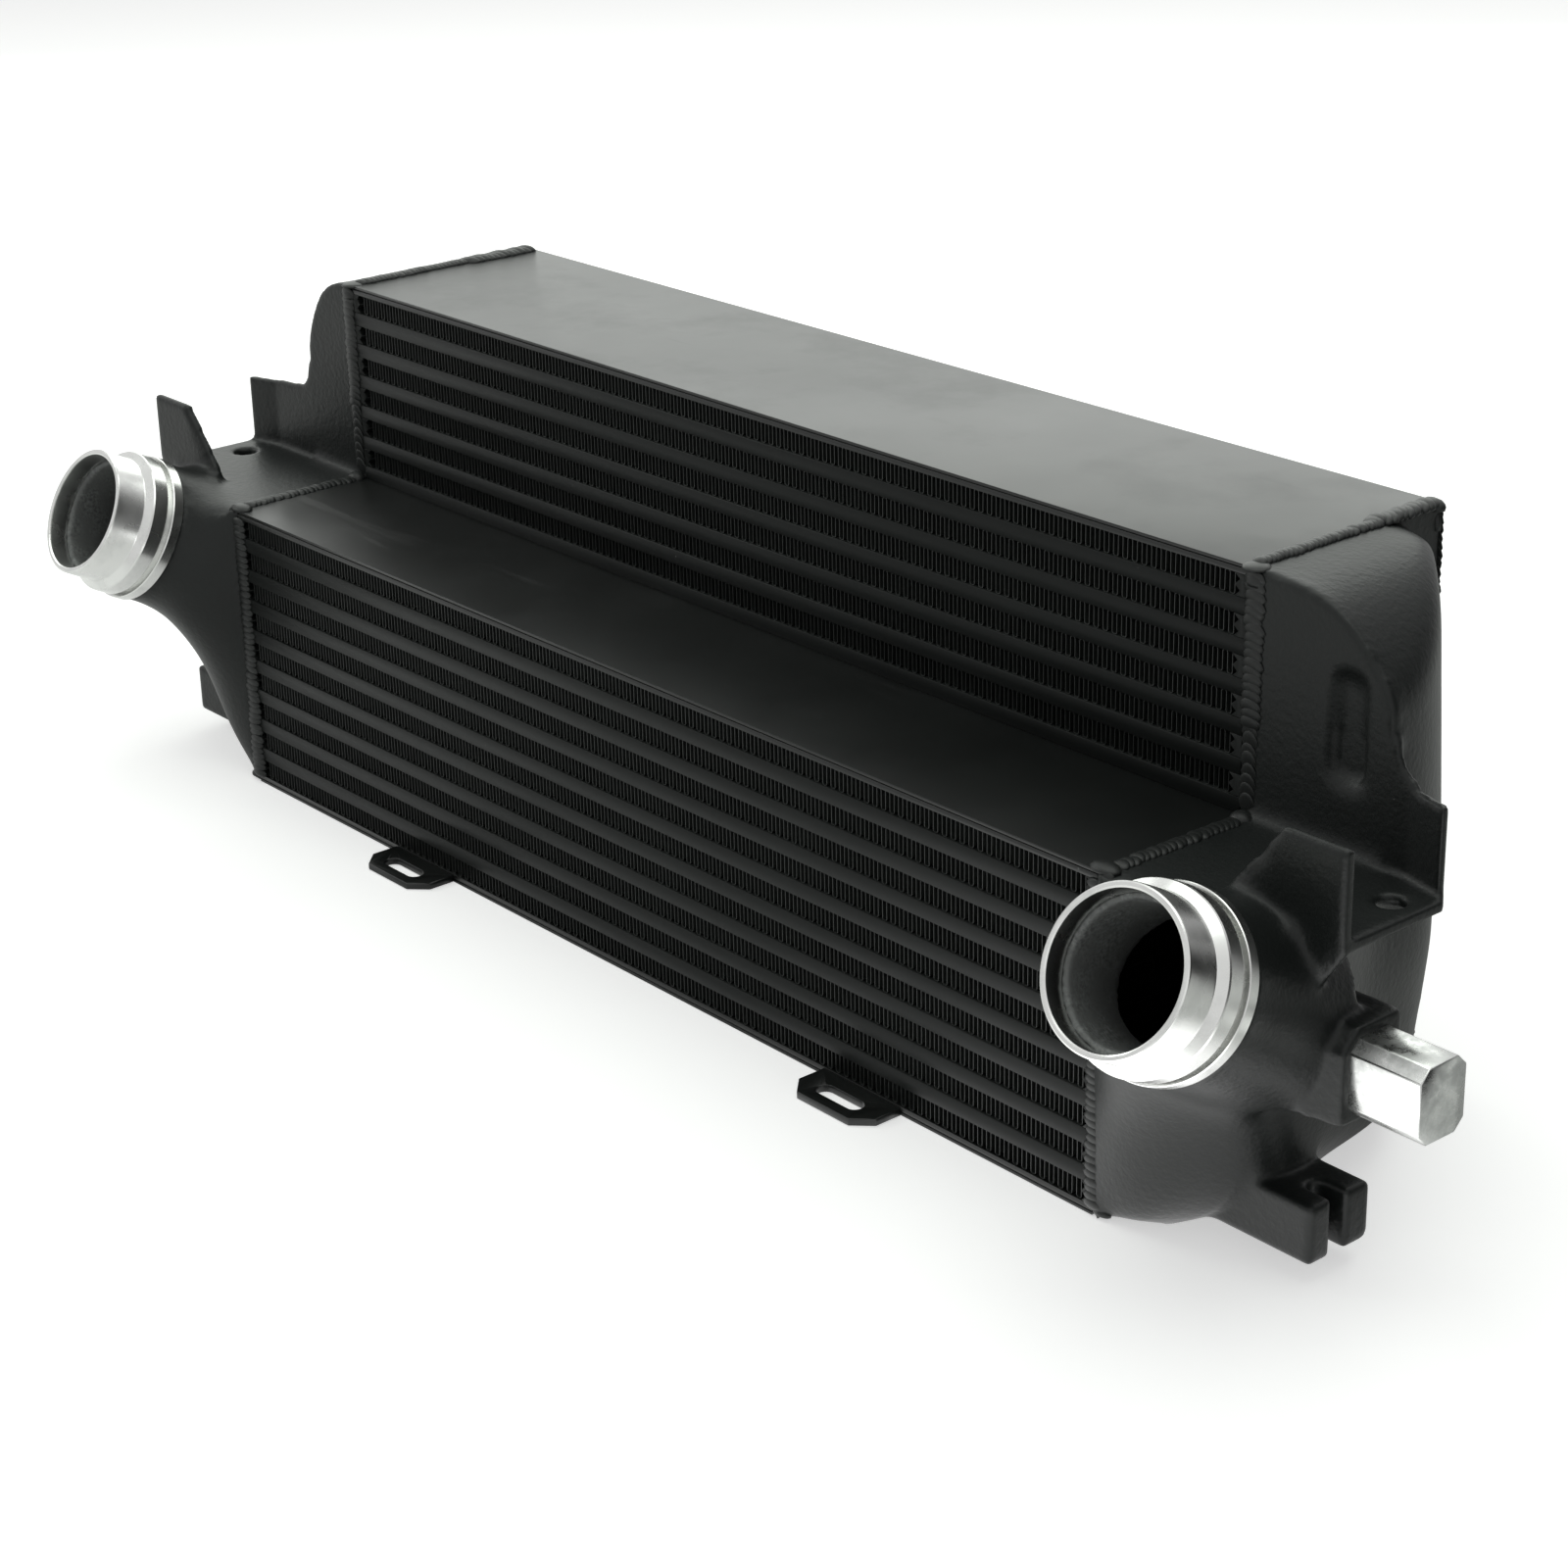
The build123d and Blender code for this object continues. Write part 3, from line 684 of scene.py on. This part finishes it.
def casting(side):
    """The tank as cast: one skin, its broad walls blended, its brackets kept crisp."""
    name = side + "_tank_casting"
    cast = copy_of(side + "_end_tank", name)
    walls = [wall_patch(side, *wall) for wall in THIN_WALLS[side]]
    piece = join([cast, boss_skirt(side)] + walls, name)
    modify(piece, "REMESH", mode="VOXEL", voxel_size=VOXEL)
    if side == "right":
        press_dimple(piece)
    free = broad_walls(vectors(piece.data.vertices, "co"), side)
    weight = np.round(BLEND_LEVELS * free)
    blends = piece.vertex_groups.new(name="broad_walls")
    for level in range(1, BLEND_LEVELS + 1):
        here = [int(k) for k in np.flatnonzero(weight == level)]
        blends.add(here, level / BLEND_LEVELS, "REPLACE")
    modify(piece, "SMOOTH", factor=0.5, iterations=2)
    modify(piece, "SMOOTH", factor=0.5, iterations=BLEND_PASSES, vertex_group="broad_walls")
    only(piece)
    bpy.ops.object.shade_smooth()
    finish(piece, [CAST, RAW], "coated_casting", side + "_end_tank")
    behind, radius = from_spout(vectors(piece.data.polygons, "center"), side)
    bore = radius < BORE_RADIUS + 1.2 * MM
    sleeve = (behind < NECK_END) & (radius < 27.5 * MM)
    raw = (bore | sleeve) & (behind < 90 * MM)
    piece.data.polygons.foreach_set("material_index", raw.astype(np.int32))


# ================= spouts and pegs =================
# Section of the sleeve from its inner step round the lip: behind the lip and radius, mm.
SLEEVE = (
    (8.5, 26.4), (8.5, 25.4), (1.0, 25.4), (0.3, 25.6), (0.0, 26.2), (0.0, 27.3), (0.3, 27.8),
    (1.0, 28.0), (13.3, 28.0), (13.8, 28.2), (16.1, 31.3), (16.8, 31.6), (23.1, 31.6),
    (23.4, 31.3), (23.4, 29.8), (25.8, 29.8), (25.8, 32.1), (26.2, 32.4), (30.5, 32.4),
    (31.0, 31.9), (31.0, 26.4), (8.5, 26.4),
)


def spout(side):
    """Turned sleeve: lip, hose seat, shoulder, clip groove and collar."""
    along, radius = SLEEVE[0]
    bpy.ops.mesh.primitive_circle_add(
        vertices=144, radius=radius * MM, location=(0, 0, -along * MM), enter_editmode=True
    )
    piece = bpy.context.edit_object
    bpy.ops.mesh.select_all(action="SELECT")
    for following, wider in SLEEVE[1:]:
        bpy.ops.mesh.extrude_edges_move(
            TRANSFORM_OT_translate={"value": (0, 0, (along - following) * MM)}
        )
        grow = wider / radius
        bpy.ops.transform.resize(value=(grow, grow, 1), center_override=(0, 0, -following * MM))
        along, radius = following, wider
    bpy.ops.mesh.select_all(action="SELECT")
    bpy.ops.mesh.remove_doubles(threshold=0.005 * MM)
    bpy.ops.mesh.normals_make_consistent(inside=False)
    done()
    piece.name = side + "_turned_spout"
    middle = piece.location.copy()
    piece.location = (0, 0, 0)
    lip, axis = spout_axis(side)
    turn = axis.to_track_quat("Z", "Y").to_matrix().to_4x4()
    piece.data.transform(Matrix.Translation(lip) @ turn @ Matrix.Translation(middle))
    only(piece)
    bpy.ops.object.shade_smooth_by_angle(angle=radians(22))
    finish(piece, [TURNED], "machined_aluminium", side + "_spout")


PEG_ROUND = 0.55 * MM


def peg(side):
    """Sawn bar with its edges broken."""
    piece = copy_of(side + "_mounting_peg", side + "_sawn_peg")
    soften(piece, PEG_ROUND, 3)
    finish(piece, [SAWN], "machined_aluminium", side + "_mounting_peg")


# ================= welds =================
def ripple_pattern():
    """One ripple of a bead: a low dome, steeper on its leading side."""
    bpy.ops.mesh.primitive_uv_sphere_add(segments=12, ring_count=8, radius=1)
    piece = bpy.context.active_object
    piece.name = "ripple_pattern"
    shape(piece)
    bpy.ops.mesh.select_all(action="SELECT")
    bpy.ops.mesh.bisect(
        plane_co=(0, 0, -0.3), plane_no=(0, 0, 1), clear_inner=True, use_fill=True
    )
    pick("verts", lambda m: m.y > 0.2)
    bpy.ops.transform.resize(value=(0.86, 0.8, 1), center_override=(0, 0.2, 0))
    done()
    only(piece)
    bpy.ops.object.shade_smooth()
    return piece


def ripple_at(pattern, place, along, out, size, tilt=0.0):
    """A ripple at a place; size is half its width, half its length and its height."""
    across = along.cross(out)
    basis = Matrix((across, along, out)).transposed().to_4x4()
    turn = Matrix.Rotation(tilt, 4, "X")
    scale = Matrix.Diagonal((size[0], size[1], size[2], 1))
    return twin(pattern, "ripple", Matrix.Translation(place) @ basis @ turn @ scale)


def bead(pattern, start, end, out, half, height, pitch, slant=0.0, reach=1.0):
    """A run of overlapping ripples from start to end."""
    start, end, out = Vector(start), Vector(end), Vector(out)
    along = (end - start).normalized()
    across = along.cross(out)
    count = max(2, int((end - start).length / pitch))
    run = []
    for k in range(count + 1):
        wander = across * rng.normal(0, 0.06 * half)
        wide = half * rng.uniform(0.94, 1.06)
        tall = height * rng.uniform(0.88, 1.1)
        place = start.lerp(end, k / count) + wander + along * rng.normal(0, 0.08 * pitch)
        heading = (along + across * (slant + rng.normal(0, 0.07))).normalized()
        run.append(ripple_at(pattern, place, heading, out, (wide, pitch * reach, tall), 0.16))
    return run


def welds(side, pattern):
    """Front, step, upper face, top and back beads of one tank, with their blobs."""
    hand = HAND[side]
    forward, back, up = Vector((0, -1, 0)), Vector((0, 1, 0)), Vector((0, 0, 1))

    def at(reach, y, z):
        return Vector((hand * (CORE_END + reach * MM), y, z))

    front_reach, front_half, front_tall = (0.4, 4.4 * MM, 1.5 * MM)
    if side == "left":
        front_reach, front_half, front_tall = (-0.6, 5.2 * MM, 2.0 * MM)
    # Start, end, direction out, half width, height, pitch, slant and overlap.
    runs = (
        (at(front_reach, FRONT, 5 * MM), at(front_reach, FRONT, STEP_TOP - 5 * MM),
         forward, front_half, front_tall, 2.7 * MM, 0.0),
        (at(3.6, STEP_FACE, STEP_TOP + 34 * MM), at(3.6, STEP_FACE, TOP - 4 * MM),
         forward, 4.7 * MM, 1.1 * MM, 2.9 * MM, 0.0, 1.35),
        (at(3.2, STEP_FACE, STEP_TOP + 5 * MM), at(3.4, STEP_FACE, STEP_TOP + 34 * MM),
         forward, 3.8 * MM, 0.6 * MM, 3.6 * MM, 0.0, 1.4),
        (at(2.6, FRONT + 9 * MM, STEP_TOP), at(3.2, STEP_FACE - 4 * MM, STEP_TOP),
         up, 3.9 * MM, 1.4 * MM, 2.4 * MM, 0.35 * hand, 1.35),
        (at(1.0, STEP_FACE + 6 * MM, TOP), at(0.6, BACK - 34 * MM, TOP),
         up, 3.7 * MM, 1.7 * MM, 2.1 * MM, 0.5 * hand, 1.35),
        (at(-0.5, BACK - 34 * MM, TOP), at(-1.0, BACK - 4 * MM, TOP),
         up, 5.6 * MM, 2.1 * MM, 2.6 * MM, 0.6 * hand, 1.4),
        (at(-1.4, BACK, TOP - 4 * MM), at(-1.4, BACK, 4 * MM),
         back, 3.2 * MM, 0.8 * MM, 3.0 * MM, 0.0, 1.3),
    )
    ripples = []
    for run in runs:
        ripples += bead(pattern, *run)
    # Where runs start, end or turn: half width, half length and height.
    blobs = (
        (at(0.8, FRONT + 3.5 * MM, STEP_TOP), (6.5, 4.6, 1.9)),
        (at(3.4, FRONT + 1.2 * MM, STEP_TOP - 2.5 * MM), (4.0, 2.2, 3.6)),
        (at(3.4, STEP_FACE - 2.0 * MM, STEP_TOP), (4.6, 4.4, 3.0)),
        (at(2.2, STEP_FACE + 2.6 * MM, TOP - 0.5 * MM), (5.4, 5.6, 1.3)),
        (at(3.4, STEP_FACE + 0.5 * MM, TOP - 5.0 * MM), (4.4, 2.0, 4.4)),
        (at(-0.8, BACK - 2.8 * MM, TOP - 1.2 * MM), (5.2, 4.4, 2.8)),
        (at(-1.2, BACK - 1.6 * MM, TOP - 8 * MM), (3.2, 2.4, 6.0)),
        (at(3.6, FRONT + 1.4 * MM, 2.0 * MM), (4.2, 2.4, 2.0)),
    )
    for place, size in blobs:
        ripples.append(ripple_at(pattern, place, back, up, tuple(value * MM for value in size)))
    piece = join(ripples, side + "_rippled_weld")
    finish(piece, [WELD], "coated_weld", side + "_weld_bead")


sheets_and_bars()
fins()
ripple = ripple_pattern()
for side in HAND:
    casting(side)
    spout(side)
    peg(side)
    welds(side, ripple)
bpy.data.objects.remove(ripple)


# ================= studio =================
SOFTBOX_WHITE = (0.94, 1.0, 0.93)
FLOOR_SEEN = 0.51                   # lifts the floor to white away from the shadow
# Painted reflection: middle of the floor patch that glows only in reflections, brightening the
# right bowl's lower front.
PAINTED_REFLECTION_MIDDLE = (0.37, -0.22, 0)    # the floor under the right bowl
ROOM_MIRRORED, ROOM_LIGHT = 0.85, 0.35


def area_light(name, place, size, radiance, aim=(0, 0, 0.1)):
    """A soft box that faces the object."""
    light = bpy.data.lights.new(name, "AREA")
    light.shape = "RECTANGLE"
    light.size, light.size_y = size
    light.energy = radiance * pi * size[0] * size[1]
    light.color = SOFTBOX_WHITE
    lamp = bpy.data.objects.new(name, light)
    bpy.context.collection.objects.link(lamp)
    lamp.location = place
    lamp.rotation_euler = (Vector(aim) - lamp.location).to_track_quat("-Z", "Y").to_euler()
    lamp.visible_camera = False
    return lamp


def studio():
    """Pale floor that keeps the shadow, white surroundings and soft boxes; the floor also glows for
    mirrored rays only, a painted reflection in the right bowl.
    """
    bpy.ops.mesh.primitive_plane_add(size=12, location=(0, 0, -0.0002))
    floor = bpy.context.active_object
    floor.name = "studio_floor"
    material, tree, shader, place = new_material("pale_floor")
    shader.inputs["Base Color"].default_value = (0.8, 0.8, 0.8, 1)
    shader.inputs["Roughness"].default_value = 0.9
    shader.inputs["Specular IOR Level"].default_value = 0.1
    ray = tree.nodes.new("ShaderNodeLightPath")
    shader.inputs["Emission Color"].default_value = (1, 1, 1, 1)
    # Painted reflection: the floor glows for mirrored rays only, most under the right bowl and none
    # behind the object.
    apart = tree.nodes.new("ShaderNodeVectorMath")
    apart.operation = "DISTANCE"
    apart.inputs[1].default_value = PAINTED_REFLECTION_MIDDLE
    tree.links.new(place, apart.inputs[0])
    painted_reflection_glow = ramp(tree, apart.outputs["Value"], 0.33, 0.1, 0.3, 2.1)
    near = toward(tree, place, (0.3, 0.95, 0), 0.12, 0.02)      # none behind the object
    painted_reflection_glow = maths(tree, "MULTIPLY", painted_reflection_glow, near)
    painted_reflection_glow = maths(tree, "MULTIPLY", painted_reflection_glow, ray.outputs["Is Glossy Ray"])
    seen = maths(tree, "MULTIPLY", ray.outputs["Is Camera Ray"], FLOOR_SEEN)
    tree.links.new(maths(tree, "MAXIMUM", seen, painted_reflection_glow), shader.inputs["Emission Strength"])
    floor.data.materials.append(material)

    world = bpy.data.worlds.new("studio_world")
    bpy.context.scene.world = world
    world.use_nodes = True
    tree = world.node_tree
    sky = tree.nodes["Background"]
    ray = tree.nodes.new("ShaderNodeLightPath")
    view = tree.nodes.new("ShaderNodeTexCoord").outputs["Generated"]
    gap = toward(tree, view, (0.2, 0.94, 0.27), 1.04, 0.93)    # dark beside the back softbox
    side = toward(tree, view, (0.8, 0.6, 0.1), 0.95, 0.7)      # and on the right
    mirrored = maths(tree, "MULTIPLY", maths(tree, "MINIMUM", gap, side), ROOM_MIRRORED)
    mirrored = maths(tree, "MULTIPLY", ray.outputs["Is Glossy Ray"], mirrored)
    seen = maths(tree, "MAXIMUM", ray.outputs["Is Camera Ray"], ray.outputs["Is Transmission Ray"])
    seen = maths(tree, "MAXIMUM", seen, mirrored)
    plain = maths(tree, "SUBTRACT", 1.0, ray.outputs["Is Glossy Ray"])
    sky.inputs["Color"].default_value = (1, 1, 1, 1)
    strength = maths(tree, "MAXIMUM", seen, maths(tree, "MULTIPLY", plain, ROOM_LIGHT))
    tree.links.new(strength, sky.inputs["Strength"])

    area_light("low_back_softbox", (-1.45, 1.25, 0.5), (2.0, 0.7), 0.8)
    area_light("high_back_softbox", (-1.3, 1.15, 1.25), (2.2, 0.8), 1.85)
    area_light("top_softbox", (0.1, 0.1, 1.9), (1.8, 1.8), 1.5)
    area_light("high_left_softbox", (-1.35, -0.75, 1.2), (0.7, 0.45), 3.8)
    area_light("front_fill", (0.9, -1.8, 0.9), (1.2, 1.0), 0.25)


CAMERA_PLACE = (0.9421, -0.7792, 0.5629)
CAMERA_HEADING, CAMERA_TILT, CAMERA_ROLL = radians(50.205), radians(90 - 22.59), radians(-1.35)


def camera():
    """The lens and place from which the object is seen at rest."""
    lens = bpy.data.cameras.new("camera")
    lens.lens = 75.84
    lens.sensor_width = 36
    view = bpy.data.objects.new("camera", lens)
    bpy.context.collection.objects.link(view)
    turn = Matrix.Rotation(CAMERA_HEADING, 4, "Z") @ Matrix.Rotation(CAMERA_TILT, 4, "X")
    roll = Matrix.Rotation(CAMERA_ROLL, 4, "Z")
    view.matrix_world = Matrix.Translation(CAMERA_PLACE) @ turn @ roll
    bpy.context.scene.camera = view


studio()
camera()
bpy.context.scene.view_settings.view_transform = "Standard"
